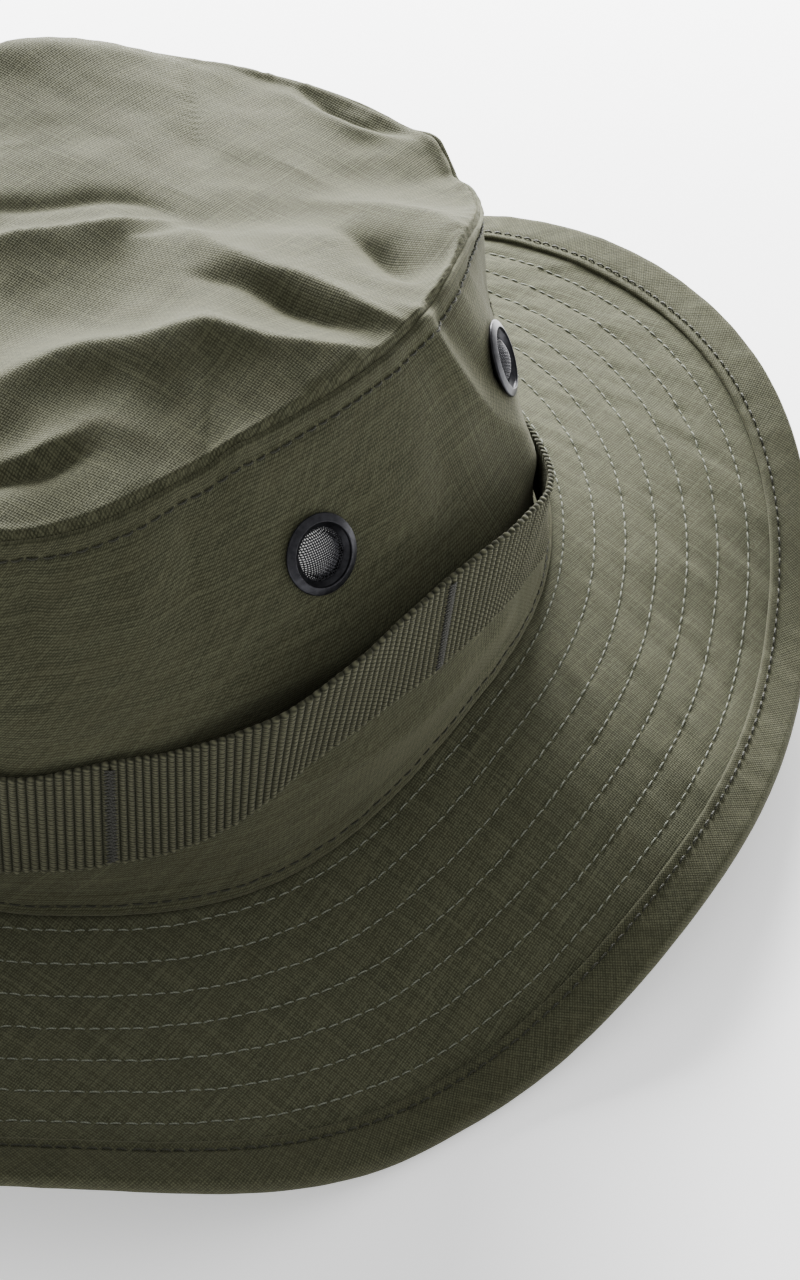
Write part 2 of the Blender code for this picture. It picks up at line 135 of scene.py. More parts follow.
# Folds of the crown top. First how wide a crest's near side is against its far side, then the points of
# the crest: (x, y, height, width).
TOP_FOLDS = (
    (3.2, (-30, -22, 0, 4), (-22, -11, 3.2, 4), (-15, -4, 3.6, 4), (-8, 3, 3.6, 4), (-3, 10, 2.6, 3),
     (1, 17, 0, 2)),
    (1.3, (-5, 14, 0, 3), (6, 13, 1.8, 6), (17, 9, 2.8, 7), (28, 7, 3.4, 7), (36, 9, 3.6, 7),
     (43, 9, 3.6, 6), (52, 8, 3, 5), (58, 9, 1.6, 3.5), (62, 11, 0, 2)),
    (1.7, (-2, -60, 0, 12), (6, -47, 5.5, 12), (10, -40, 7.5, 12), (14, -35, 8.5, 12), (19, -31, 8.8, 12),
     (25, -27, 8.8, 12), (29, -22, 8.5, 12), (33, -18, 8, 11), (38, -16, 7.2, 10), (44, -14, 6, 9),
     (52, -9, 4.2, 7), (58, -3, 2, 4), (63, 1, 0, 2)),
    (1, (12, 1, 0, 4), (19, -5, 1.4, 5), (24, -10, 1.4, 5), (27, -14, 0, 4)),
    (1, (10, -70, 0, 5), (18, -63, 2.2, 5), (22, -59, 2.8, 5), (25, -53, 2, 5), (28, -47, 0, 4)),
    (1, (19, -49, 0, 6), (32, -46, 1.2, 7), (45, -43, 0, 6)),
    (0.9, (9, 42, 0, 8), (19, 46, 1.5, 9), (29, 51, 2.4, 9), (41, 51, 2.8, 8), (53, 45, 2, 7),
     (61, 41, 0, 4)),
    (1, (-22, 78, 0, 5), (-14, 80, 1, 5), (-5, 78, 2, 5), (3, 77, 2.6, 5), (9, 80, 1.8, 5),
     (15, 84, 0, 4)),
    (1, (-72, 24, 0, 18), (-61, 40, 6, 20), (-53, 50, 6, 20), (-45, 61, 4, 18),
     (-33, 74, 0, 14)),
    (1, (-74, -8, 0, 8), (-62, -14, 2.5, 9), (-50, -14, 3.5, 10), (-38, -6, 2.5, 9), (-28, 4, 0, 7)),
    (1, (-30, -84, 0, 6), (-27, -70, 2, 7), (-20, -56, 2.6, 8), (-16, -42, 0, 8)),
)
TOP_CREASES = (
    (1, (-36, -10, 0, 3), (-29, -2, -1.6, 4), (-22, 5, -2, 4), (-15, 12, -2, 4),
     (-8, 18, -1.5, 3.5), (2, 19, 0, 3)),
    (1, (13, -2, 0, 5), (19, -1, -1.4, 5), (27, 1, -2.6, 5), (38, 1, -3.6, 5), (49, 2, -2.8, 4.5),
     (59, 4, 0, 3)),
    (1, (12, -76, 0, 4), (19, -66, -3, 4), (25, -61, -3, 4), (29, -56, -1.6, 4), (32, -52, 0, 3)),
    (1, (26, 36, 0, 8), (32, 36, -4, 9), (39, 34, -7.5, 9), (45, 31, -7.5, 9), (51, 27, -3.5, 8),
     (55, 24, 0, 6)),
    (1, (-17, 85, 0, 3), (-11, 84, -2.4, 3), (-3, 83, -3.6, 3), (5, 84, -2.6, 3), (12, 86, 0, 3)),
    (1, (-36, 73, 0, 3), (-27, 61, -1.4, 3), (-16, 48, -1.2, 3), (-7, 37, 0, 3)),
    (1, (-58, -30, 0, 8), (-48, -28, -2, 9), (-38, -20, -1.5, 8), (-30, -14, 0, 7)),
)
TOP_PINCHES = (
    (1, (-13, 26, 0, 1.4), (-6, 26.5, 0.7, 1.4), (1, 27, 0, 1.4)),
    (1, (-2, 54, 0, 1.4), (5, 53.5, 0.7, 1.4), (12, 53, 0, 1.4)),
    (1, (-46, 12, 0, 1.4), (-41, 16, 0.6, 1.4), (-37, 21, 0, 1.4)),
)
SPINE_STEPS = 8  # samples between two points of a fold
SPINE_BLEND = 2.5  # mm over which neighbouring parts of a crest blend
CREST_ROUNDING = 0.12  # in widths of the fold
MM_PER_DEGREE = 1.6  # round the crown

# The crown seam's kinks where folds run into it: (height, degrees round the hat, width in degrees)
KINKS = ((0.8, -30, 2.5), (-1.0, -36, 3.5), (0.9, 8, 2.5), (-0.8, 13, 3.0), (2.4, 75, 4.5), (-1.2, 66, 3.0))

# The wall falls in behind the left rear vent, and is back out by the hat's back: depth, then degrees
SIDE_DENT = 10.5
DENT_START = 18
DENT_FULL = 44
DENT_FADE = 75
DENT_END = 115

# Folds of the crown wall, likewise: (degrees round the hat, mm above the brim seam, height, width)
WALL_FOLDS = (
    (1, (9.8, 82, 0, 3), (8.6, 76, 1.6, 4), (9.5, 68, 2.4, 5), (12.5, 58, 2.4, 6), (17, 50, 1.2, 6),
     (22, 44, 0, 6)),
    (1, (-49, 80, 0, 6), (-48, 72, 1, 6), (-47, 62, 1.2, 7), (-45, 52, 0, 7)),
    (1, (-70, 80, 0, 6), (-69, 70, 1.3, 7), (-67, 58, 1, 8), (-66, 50, 0, 7)),
    (1, (-14, 70, 0, 6), (-12, 64, 0.8, 6), (-7, 56, 1, 7), (-2, 48, 0, 7)),
    (1, (-50, 48, 0, 8), (-40, 46, 1.2, 8), (-30, 44, 2.6, 8), (-18, 43, 4, 9), (-6, 42, 4.6, 9),
     (6, 42, 4.6, 9), (16, 42, 3, 9), (26, 42, 0, 8)),
    (1, (60, 80, 0, 7), (63, 66, 2, 8), (68, 52, 2, 9), (70, 40, 0, 8)),
    (1, (120, 78, 0, 7), (116, 66, 1.6, 8), (110, 54, 2, 9), (108, 42, 0, 8)),
    (1, (165, 78, 0, 7), (168, 64, 1.8, 8), (174, 52, 1.4, 9), (178, 42, 0, 8)),
    (1, (-150, 78, 0, 7), (-152, 66, 1.4, 8), (-148, 54, 1.8, 9), (-146, 44, 0, 8)),
    (1, (-100, 78, 0, 7), (-104, 66, 1.6, 8), (-106, 54, 1.2, 9), (-108, 44, 0, 8)),
)
WALL_CREASES = (
    (1, (16, 28, 0, 16), (26, 28, -3.5, 18), (38, 28, -6, 18), (54, 28, -6, 18), (70, 28, -4, 18),
     (90, 28, 0, 16)),
    (1, (-86, 46, 0, 1.6), (-76, 45, -0.9, 1.8), (-56, 45, -1.1, 1.8), (-40, 47, -1.2, 2),
     (-24, 54, -0.9, 2), (-8, 54, -0.7, 2), (6, 53, 0, 1.8)),
    (1, (-63, 80, 0, 4), (-62, 74, -1.5, 4), (-61, 66, -1.3, 5), (-60, 56, 0, 5)),
    (1, (-41, 80, 0, 5), (-40, 74, -1.2, 5), (-40, 66, -1.4, 6), (-39, 56, 0, 6)),
    (1, (12, 80, 0, 4), (13.5, 72, -1.2, 5), (17, 62, -1.4, 6), (23, 50, 0, 6)),
    (1, (-37, 26, 0, 5), (-30, 22, 0.5, 6), (-20, 18, 2, 6), (-8, 15, 2, 6), (4, 14, 1, 6),
     (12, 14, 0, 5)),
    (1, (90, 72, 0, 7), (92, 62, -1.8, 8), (96, 50, 0, 8)),
)


# ---- shape

def cubic(before, here, after, beyond, t):
    """The smooth curve through four values, at t from 0 here to 1 at the next."""
    slope, next_slope, rise = (after - before) / 2, (beyond - here) / 2, after - here
    bend = 3 * rise - 2 * slope - next_slope
    return here + t * (slope + t * (bend + t * (slope + next_slope - 2 * rise)))


def around(values, angle):
    """Evenly spaced values round the hat, read as one smooth closed curve."""
    values = np.asarray(values, float)
    place = (np.asarray(angle, float) / TURN) % 1.0 * len(values)
    step = np.floor(place).astype(int)
    t = place - step
    return cubic(*(values[(step + k) % len(values)] for k in (-1, 0, 1, 2)), t)


def smooth_line(points):
    """A smooth open curve through the rows of points, sampled between each two."""
    points = np.asarray(points, float)
    padded = np.vstack([2 * points[0] - points[1], points, 2 * points[-1] - points[-2]])
    t = np.linspace(0, 1, SPINE_STEPS, endpoint=False)[:, None]
    pieces = []
    for k in range(1, len(padded) - 2):
        pieces.append(cubic(*padded[k - 1 : k + 3], t))
    return np.vstack([*pieces, points[-1:]])


def fold(u, v, front, points):
    """Height at (u, v) of one fold: each point of its crest is (u, v, height, width)."""
    spine = smooth_line(points)
    tangent = np.gradient(spine[:, :2], axis=0)
    tangent /= np.linalg.norm(tangent, axis=1, keepdims=True)
    reach = 4 * spine[:, 3].max()
    low, high = spine[:, :2].min(0) - reach, spine[:, :2].max(0) + reach
    near = (u > low[0]) & (u < high[0]) & (v > low[1]) & (v < high[1])
    result = np.zeros(np.shape(u))
    if not near.any():
        return result
    du, dv = u[near][:, None] - spine[:, 0], v[near][:, None] - spine[:, 1]
    squared = du * du + dv * dv
    share = np.exp((squared.min(1, keepdims=True) - squared) / SPINE_BLEND**2)
    share /= share.sum(1, keepdims=True)
    side = (share * (tangent[:, 0] * dv - tangent[:, 1] * du)).sum(1)
    width = share @ spine[:, 3] * np.where(side < 0, front, 1.0)
    distance = np.minimum((share * squared).sum(1), squared.min(1) + 1) / (width * width)
    rounded = np.sqrt(distance + CREST_ROUNDING**2) - CREST_ROUNDING
    profile = np.exp(-1.35 * rounded - 0.35 * distance)
    result[near] = share @ spine[:, 2] * profile
    return result


def folds(u, v, lines):
    """Height at (u, v) of several folds together."""
    return sum(fold(u, v, front, points) for front, *points in lines)


def drift(u, v, cell, seed):
    """Smooth noise from -1 to 1, with this cell size."""
    size = 64
    grid = np.random.default_rng(seed).uniform(-1, 1, (size, size))
    u, v = u / cell, v / cell
    column, row = np.floor(u).astype(int), np.floor(v).astype(int)
    a, b = u - column, v - row
    a, b = a * a * (3 - 2 * a), b * b * (3 - 2 * b)

    def line(row):
        return grid[row % size, column % size] * (1 - a) + grid[row % size, (column + 1) % size] * a

    return line(row) * (1 - b) + line(row + 1) * b


def bump(distance, width):
    """1 at no distance, and close to 0 at twice the width."""
    return np.exp(-((distance / width) ** 2))


def ease(part):
    """0 below 0, 1 above 1, and a smooth step between."""
    part = np.clip(part, 0, 1)
    return part * part * (3 - 2 * part)


def oval(half_length, half_width, angle):
    """Points on an oval and the way out from it."""
    x, y = np.cos(angle), np.sin(angle)
    point = np.stack([half_width * x, half_length * y, 0 * x], axis=-1)
    outward = np.stack([x / half_width, y / half_length, 0 * x], axis=-1)
    return point, outward / np.linalg.norm(outward, axis=-1, keepdims=True)


def seam(angle):
    """Where the brim's upper face meets the crown wall."""
    foot, outward = oval(HEAD_HALF_LENGTH, HEAD_HALF_WIDTH, angle)
    foot = foot + HEAD_CENTRE
    foot[..., 2] = around(SEAM_HEIGHTS, angle)
    return foot, outward


def crown_seam(angle, share=1.0):
    """Where the crown wall meets the crown top, with this share of the kinks where folds run into it."""
    top, outward = oval(CROWN_HALF_LENGTH, CROWN_HALF_WIDTH, angle)
    degrees = in_degrees(angle)
    kinks = share * sum(height * bump(degrees - place, width) for height, place, width in KINKS)
    top = top + HEAD_CENTRE + CROWN_LEAN + outward * (around(CROWN_BULGES, angle) + 0.4 * kinks)[..., None]
    top[..., 2] = around(CROWN_HEIGHTS, angle) + kinks
    return top


def in_degrees(angle):
    """Degrees round the hat, from -180 to 180."""
    return (np.degrees(angle) + 180) % 360 - 180


def round_seam(angle):
    """Rough distance round the crown, in mm, for folds and noise."""
    return in_degrees(angle) * MM_PER_DEGREE


def in_mm(lines):
    """Folds of the wall with their place round the hat turned into mm."""
    return [(front, *((a * MM_PER_DEGREE, *rest) for a, *rest in points)) for front, *points in lines]


def wall_relief(angle, rise):
    """How far folds, puckers and stitching push the wall cloth out."""
    along, height = round_seam(angle), rise * WALL_HEIGHT
    relief = folds(along, height, in_mm(WALL_FOLDS)) + folds(along, height, in_mm(WALL_CREASES))
    middle = np.clip(rise * (1 - rise) * 6, 0, 1)
    relief = relief + middle * (1.1 * drift(along, height, 26, 1) + 0.5 * drift(along, height * 0.6, 9, 2))
    # The cloth puckers at both topstitched seams, and dips along the stitches.
    top, low = (1 - rise) * WALL_HEIGHT, height
    relief = relief + 0.22 * drift(along, height * 0.3, 3.2, 3) * (bump(top - 3, 3.5) + bump(low - 3, 3.0))
    return relief - 0.35 * bump(low - BRIM_TOPSTITCH * WALL_HEIGHT, 0.7) - 0.35 * bump(top - 3.0, 0.7)


def wall(angle, rise, out=0.0):
    """A point on the crown wall: rise runs from 0 at the brim to 1 at the top."""
    angle, rise = np.broadcast_arrays(np.asarray(angle, float), np.asarray(rise, float))
    foot, outward = seam(angle)
    foot[..., 2] += GAP
    point = foot * (1 - rise)[..., None] + crown_seam(angle, rise**6) * rise[..., None]
    degrees = in_degrees(angle)
    dent = SIDE_DENT * ease((degrees - DENT_START) / (DENT_FULL - DENT_START))
    dent = dent * ease((DENT_END - degrees) / (DENT_END - DENT_FADE))
    bulge = 4 * (WALL_BULGE - dent) * rise * (1 - rise) + wall_relief(angle, rise)
    return point + outward * (bulge + out)[..., None]


def brim_relief(angle, span):
    """Quilting: the cloth dips along each row of stitches and puffs up between them."""
    reach = span * BRIM_WIDTH
    row = (reach - FIRST_ROW) / ROW_SPACING
    nearest = np.clip(np.round(row), 0, BRIM_ROWS - 1)
    off_row = (row - nearest) * ROW_SPACING
    along = round_seam(angle) * (1 + 0.5 * span)
    pucker = 1 + 0.6 * drift(along, nearest * 7.3, 2.6, 4)
    relief = -0.30 * pucker * bump(off_row, 1.1)
    relief = relief + 0.10 * drift(along, reach, 5.0, 5) + 0.45 * drift(along, reach, 24, 6)
    relief = relief + 0.15 * drift(along + 0.35 * reach, reach * 0.35, 4.5, 11)
    return relief - 0.4 * bump(reach, 1.5)


def brim(angle, span, lift=0.0, relief=1.0):
    """A point on the brim: span runs from 0 at the crown to 1 at the edge, lift goes up."""
    angle, span = np.broadcast_arrays(np.asarray(angle, float), np.asarray(span, float))
    foot, outward = seam(angle)
    fall = foot[..., 2] - around(BRIM_EDGE_HEIGHTS, angle)
    reach = np.sqrt(BRIM_WIDTH**2 - fall**2)
    slack = np.maximum(0.0, SAG_FREE_FALL - fall) * BRIM_SAG
    height = foot[..., 2] - fall * span - 4 * slack * span * (1 - span) + relief * brim_relief(angle, span)
    clear = height - GROUND
    height = GROUND + GROUND_SOFTNESS * np.logaddexp(0, clear / GROUND_SOFTNESS)
    point = foot + outward * (reach * span)[..., None]
    point[..., 2] = height + lift
    return point


def top_relief(x, y, spread):
    """Folds and creases of the crown top, which end at the seam."""
    inside = ease((1 - spread) * 18)
    relief = folds(x, y, TOP_FOLDS) + folds(x, y, TOP_CREASES) + folds(x, y, TOP_PINCHES)
    relief = relief + 1.0 * drift(x, y, 30, 7) + 0.55 * drift(x + y, y - x, 15, 8)
    relief = relief + 0.12 * drift(x, y, 5, 9)
    return relief * inside


def crown_top(angle, spread):
    """A point on the crown top: spread runs from 0 at the middle to 1 at the seam."""
    rim = crown_seam(angle, spread**8)
    middle = HEAD_CENTRE + CROWN_LEAN + np.array([0, 0, sum(CROWN_HEIGHTS) / len(CROWN_HEIGHTS)])
    point = middle * (1 - spread)[..., None] + rim * spread[..., None]
    edge = (1 - spread) * CROWN_HALF_WIDTH
    welt = 0.4 * bump(edge - 1.8, 1.0) - 0.9 * bump(edge, 0.7)
    welt = welt + 0.25 * drift(round_seam(angle), edge * 0.3, 3.4, 10) * bump(edge, 5)
    point[..., 2] += DOME_RISE * (1 - spread**2) + top_relief(point[..., 0], point[..., 1], spread) + welt
    return point


# ---- meshes

def add_object(name, data):
    thing = bpy.data.objects.new(name, data)
    bpy.context.scene.collection.objects.link(thing)
    return thing


def make_mesh(name, points, quads, uv, material):
    """A mesh from points in mm, four-cornered faces, and a UV in metres for each corner."""
    mesh = bpy.data.meshes.new(name)
    mesh.vertices.add(len(points))
    mesh.vertices.foreach_set("co", (np.asarray(points) * MM).astype(np.float32).ravel())
    mesh.loops.add(quads.size)
    mesh.loops.foreach_set("vertex_index", np.ascontiguousarray(quads, np.int32).ravel())
    mesh.polygons.add(len(quads))
    mesh.polygons.foreach_set("loop_start", np.arange(0, quads.size, 4, dtype=np.int32))
    layer = mesh.uv_layers.new(name="cloth")
    layer.data.foreach_set("uv", (np.asarray(uv) * MM).astype(np.float32).ravel())
    mesh.update(calc_edges=True)
    mesh.validate()
    mesh.shade_smooth()
    mesh.materials.append(material)
    return add_object(name, mesh)


def grid_quads(rows, columns, closed_rows=False):
    """Faces of a grid that is closed round its columns, and the corners' places in its UV grid."""
    last = rows if closed_rows else rows - 1
    row, column = np.meshgrid(np.arange(last), np.arange(columns), indexing="ij")
    row, column = row.ravel(), column.ravel()
    corners = [(row, column), (row, column + 1), (row + 1, column + 1), (row + 1, column)]
    quads = np.stack([(r % rows) * columns + c % columns for r, c in corners], axis=1)
    places = np.stack([r * (columns + 1) + c for r, c in corners], axis=1)
    return quads, places


def ring(name, surface, rows, columns, flat, material, closed_rows=False, flip=False):
    """A sheet swept round the hat: surface(angle, row) gives points and flat(angle, row) UV, in mm."""
    angle, row = np.meshgrid(np.linspace(0, TURN, columns + 1), np.arange(rows + closed_rows))
    uv = np.stack(flat(angle, row), axis=-1).reshape(-1, 2)
    points = surface(angle[:rows, :-1], row[:rows, :-1]).reshape(-1, 3)
    quads, places = grid_quads(rows, columns, closed_rows)
    if flip:
        quads, places = quads[:, ::-1], places[:, ::-1]
    return make_mesh(name, points, quads, uv[places], material)


def patch_quads(rows, columns):
    """Faces of an open grid."""
    row, column = (a.ravel() for a in np.meshgrid(np.arange(rows - 1), np.arange(columns - 1), indexing="ij"))
    corners = ((row, column), (row, column + 1), (row + 1, column + 1), (row + 1, column))
    return np.stack([r * columns + c for r, c in corners], axis=1)


def run_of(points):
    """Distance along a line to each of its points."""
    return np.concatenate([[0], np.cumsum(np.linalg.norm(np.diff(points, axis=0), axis=1))])


def tubes(name, paths, normals, radius, material):
    """Many closed six-sided tubes, one along each path. paths and normals are (tubes, points, 3) in mm."""
    sides = 6
    paths = np.asarray(paths, float)
    count, steps = paths.shape[:2]
    tangent = np.gradient(paths, axis=1)
    tangent /= np.linalg.norm(tangent, axis=-1, keepdims=True) + 1e-12
    across = np.cross(tangent, np.broadcast_to(normals, paths.shape))
    across /= np.linalg.norm(across, axis=-1, keepdims=True) + 1e-12
    up = np.cross(across, tangent)
    turn = np.arange(sides) / sides * TURN
    radius = np.broadcast_to(np.asarray(radius, float), (count, steps))[..., None, None]
    circle = across[:, :, None] * np.cos(turn)[:, None] + up[:, :, None] * np.sin(turn)[:, None]
    points = (paths[:, :, None] + circle * radius).reshape(-1, 3)
    tube, step, side = (a.ravel() for a in np.meshgrid(
        np.arange(count), np.arange(steps - 1), np.arange(sides), indexing="ij"))
    corners = [(step, side), (step, side + 1), (step + 1, side + 1), (step + 1, side)]
    quads = np.stack([(tube * steps + s) * sides + k % sides for s, k in corners], axis=1)
    lengths = np.linalg.norm(np.diff(paths, axis=1), axis=-1)
    lengths = np.concatenate([np.zeros((count, 1)), np.cumsum(lengths, axis=1)], axis=1)
    girth = TURN * radius.max() / sides
    uv = np.stack([np.stack([lengths[tube, s], k * girth], axis=-1) for s, k in corners], axis=1)
    first = np.arange(count) * steps * sides
    final = first + (steps - 1) * sides
    ends = ((first, (3, 2, 1, 0)), (first, (0, 5, 4, 3)), (final, (0, 1, 2, 3)), (final, (0, 3, 4, 5)))
    caps = np.vstack([np.stack([end + k for k in corners], axis=1) for end, corners in ends])
    quads = np.vstack([quads, caps])
    uv = np.concatenate([uv, np.zeros((len(caps), 4, 2))])
    return make_mesh(name, points, quads, uv, material)


def stitched(name, line, pitch, material, seed, thread=THREAD, lift=0.5):
    """A row of separate stitches. line(angle) gives points on the cloth and the way up from it."""
    fine = np.linspace(0, TURN, 2881)
    points, _ = line(fine)
    lengths = run_of(points)
    count = int(lengths[-1] / pitch)
    pitch = lengths[-1] / count
    random = np.random.default_rng(seed)
    part = np.linspace(0, 1, 7)
    start = (np.arange(count) + random.uniform(-0.05, 0.05, count)) * pitch
    length = pitch * STITCH_SHARE * random.uniform(0.9, 1.06, count)
    place = (start[:, None] + length[:, None] * part) % lengths[-1]
    paths, up = line(np.interp(place, lengths, fine))
    arch = np.sin(np.pi * part) ** 0.5
    height = thread * (lift * 2 * arch - 0.75) * random.uniform(0.85, 1.15, count)[:, None]
    sway = np.cross(up, np.gradient(paths, axis=1))
    sway /= np.linalg.norm(sway, axis=-1, keepdims=True)
    slant = random.normal(0, 0.05, count)[:, None] * (part - 0.5) * 2
    paths = paths + up * height[..., None] + sway * slant[..., None]
    return tubes(name, paths, up, thread / 2 * (0.75 + 0.25 * arch), material)


# ---- materials

class Look:
    """A material and short ways to add nodes to it."""

    def __init__(self, name, roughness, metallic=0.0, sheen=0.0, specular=0.5):
        self.material = bpy.data.materials.new(name)
        self.material.use_nodes = True
        self.tree = self.material.node_tree
        self.shader = self.tree.nodes["Principled BSDF"]
        for socket, value in (
            ("Roughness", roughness), ("Metallic", metallic), ("Specular IOR Level", specular),
            ("Sheen Weight", sheen), ("Sheen Roughness", 0.5), ("Sheen Tint", (0.80, 0.78, 0.55, 1.0)),
        ):
            self.shader.inputs[socket].default_value = value

    def add(self, kind, settings=None, **inputs):
        node = self.tree.nodes.new(kind)
        for name, value in (settings or {}).items():
            setattr(node, name, value)
        for name, value in inputs.items():
            self.put(node.inputs[name.replace("_", " ")], value)
        return node

    def put(self, socket, value):
        if isinstance(value, bpy.types.NodeSocket):
            self.tree.links.new(value, socket)
        else:
            socket.default_value = value

    def math(self, operation, *values):
        node = self.tree.nodes.new("ShaderNodeMath")
        node.operation = operation
        for socket, value in zip(node.inputs, (*values, 0.0, 0.0)):
            self.put(socket, value)
        return node.outputs[0]

    def times(self, first, second):
        return self.math("MULTIPLY", first, second)

    def plus(self, first, second):
        return self.math("ADD", first, second)

    def scaled(self, value, factor, offset):
        return self.math("MULTIPLY_ADD", value, factor, offset)

    def humps(self, value, pitch):
        """Rounded humps, one to each pitch, with sharp dips between."""
        return self.math("ABSOLUTE", self.math("SINE", self.times(value, math.pi / pitch)))

    def mix(self, factor, first, second):
        node = self.tree.nodes.new("ShaderNodeMix")
        node.data_type = "RGBA"
        self.put(node.inputs[0], factor)
        for socket, value in ((node.inputs[6], first), (node.inputs[7], second)):
            self.put(socket, (*value, 1.0) if isinstance(value, tuple) else value)
        return node.outputs[2]

    def shade(self, tone, dark, light):
        """The colour between dark and light at a tone that may stray past 0 and 1."""
        return self.mix(self.add("ShaderNodeClamp", Value=tone).outputs[0], dark, light)

    def noise(self, vector, scale, detail=2.0, roughness=0.5):
        node = self.add("ShaderNodeTexNoise", Vector=vector, Scale=scale, Detail=detail, Roughness=roughness)
        return node.outputs["Fac"]

    def stretched(self, vector, scale_x, scale_y):
        return self.add("ShaderNodeMapping", Vector=vector, Scale=(scale_x, scale_y, 1)).outputs[0]

    def relief(self, height, distance, strength=1.0):
        node = self.add("ShaderNodeBump", Height=height, Distance=distance, Strength=strength)
        self.tree.links.new(node.outputs[0], self.shader.inputs["Normal"])

    def colour(self, value):
        self.put(self.shader.inputs["Base Color"], value)

    def object_place(self):
        return self.add("ShaderNodeTexCoord").outputs["Object"]

    def cloth_place(self, pitch, turn=0.0):
        """The cloth's UV counted in threads of this pitch, then across and along on their own."""
        uv = self.add("ShaderNodeUVMap", {"uv_map": "cloth"}).outputs[0]
        size = (1 / pitch,) * 3
        cells = self.add("ShaderNodeMapping", Vector=uv, Rotation=(0, 0, turn), Scale=size).outputs[0]
        split = self.add("ShaderNodeSeparateXYZ", Vector=cells)
        return cells, split.outputs[0], split.outputs[1]


def weave_height(look, u, v):
    """A plain weave: warp on top in every second cell and weft in the others."""
    cell = look.plus(look.math("FLOOR", u), look.math("FLOOR", v))
    parity = look.math("MODULO", look.math("ABSOLUTE", cell), 2.0)
    warp, weft = look.humps(u, 1.0), look.humps(v, 1.0)
    mixed = look.add("ShaderNodeMix", {"data_type": "FLOAT"})
    look.put(mixed.inputs[0], parity)
    look.put(mixed.inputs[2], look.times(warp, look.scaled(weft, 0.6, 0.4)))
    look.put(mixed.inputs[3], look.times(weft, look.scaled(warp, 0.6, 0.4)))
    return mixed.outputs[0]


def ripstop_grid(look, cells, u, v):
    """Stronger threads every few threads, both ways, that show more in some places than in others."""
    lines = []
    for along in (u, v):
        near = look.math("SMOOTH_MIN", look.times(look.humps(along, RIPSTOP_THREADS), 5.0), 1.0, 0.2)
        lines.append(look.math("SUBTRACT", 1.0, near))
    return look.times(look.math("MAXIMUM", *lines), look.noise(cells, 0.02, 2.0))


def woven(name, dark, light, warm, pitch=0.55, turn=0.0, grid=True):
    """Plain woven cotton: uneven threads, a faint ripstop grid, and drifting colour."""
    look = Look(name, 0.88, sheen=0.12, specular=0.1)
    cells, u, v = look.cloth_place(pitch * MM, turn)
    weave = weave_height(look, u, v)
    slub_up = look.noise(look.stretched(cells, 0.9, 0.035), 1.0, 1.0)
    slub_across = look.noise(look.stretched(cells, 0.03, 0.9), 1.0, 1.0)
    slubs = look.scaled(look.plus(slub_up, slub_across), 1.0, -1.0)
    fleck = look.noise(cells, 1.3, 1.0, 0.5)
    speckle = look.noise(cells, 0.5, 2.0, 0.6)
    tone = look.plus(look.times(slubs, 0.8), look.scaled(fleck, 1.3, -0.5))
    tone = look.plus(tone, look.scaled(speckle, 0.8, -0.4))
    # Painted shade: the weave's dips between threads are darker and its crossings lighter, from the same
    # heights as its bumps.
    tone = look.plus(tone, look.scaled(weave, 1.1, -0.35))
    if grid:
        tone = look.plus(tone, look.times(ripstop_grid(look, cells, u, v), 0.55))
    base = look.shade(tone, dark, light)
    blotch = look.noise(cells, 0.09, 3.0, 0.6)
    drifted = look.mix(look.scaled(blotch, 2.4, -0.9), base, warm)
    look.colour(look.mix(0.22, base, drifted))
    look.relief(look.plus(look.times(weave, 0.7), look.times(slubs, 0.5)), 0.00012, 0.85)
    return look.material


def webbing_look(name, dark, light):
    """Ribbed webbing, with painted shade between the ribs and in the braid's dips on each rib."""
    look = Look(name, 0.8, sheen=0.08, specular=0.12)
    cells, u, v = look.cloth_place(MM)
    rib = look.humps(u, RIB_PITCH)
    braid = look.math("SINE", look.plus(look.times(v, TURN / 0.62), look.times(u, 3.0)))
    speck = look.noise(cells, 3.0, 2.0, 0.7)
    # Painted shade: dark between the ribs and in the braid's dips, from the same shape as the bumps; the
    # speck is random tone.
    tone = look.times(rib, look.scaled(braid, 0.36, 0.58))
    look.colour(look.shade(look.plus(tone, look.scaled(speck, 0.5, -0.25)), dark, light))
    look.relief(look.times(rib, look.scaled(braid, 0.3, 0.7)), 0.00025, 0.8)
    return look.material


def thread_look(name, dark, light):
    """Sewing thread with its twist, shaded along the twist as painted shade, and with tone that differs at
    random.
    """
    look = Look(name, 0.6, sheen=0.05, specular=0.2)
    cells, u, v = look.cloth_place(MM)
    twist = look.math("SINE", look.plus(look.times(u, TURN / 0.5), look.times(v, TURN / 0.53)))
    # Painted shade along the twist's grooves, on top of random tone.
    look.colour(look.shade(look.scaled(twist, 0.3, look.noise(cells, 1.2, 2.0)), dark, light))
    look.relief(twist, 0.00005, 0.7)
    return look.material


def metal_look(name, colour, edge, roughness):
    """Blackened metal, a little grimy and scratched."""
    look = Look(name, roughness, metallic=0.85)
    where = look.object_place()
    grime = look.noise(where, 900.0, 3.0, 0.6)
    scratch = look.noise(look.stretched(where, 1.0, 9.0), 700.0, 2.0)
    look.colour(look.mix(look.scaled(grime, 1.6, -0.4), colour, edge))
    look.put(look.shader.inputs["Roughness"], look.scaled(scratch, 0.25, roughness - 0.12))
    look.relief(grime, 0.00004, 0.5)
    return look.material


def felt_look(name, dark, light):
    look = Look(name, 0.95)
    fibre = look.noise(look.object_place(), 2500.0, 3.0, 0.7)
    look.colour(look.mix(fibre, dark, light))
    look.relief(fibre, 0.0001, 0.6)
    return look.material


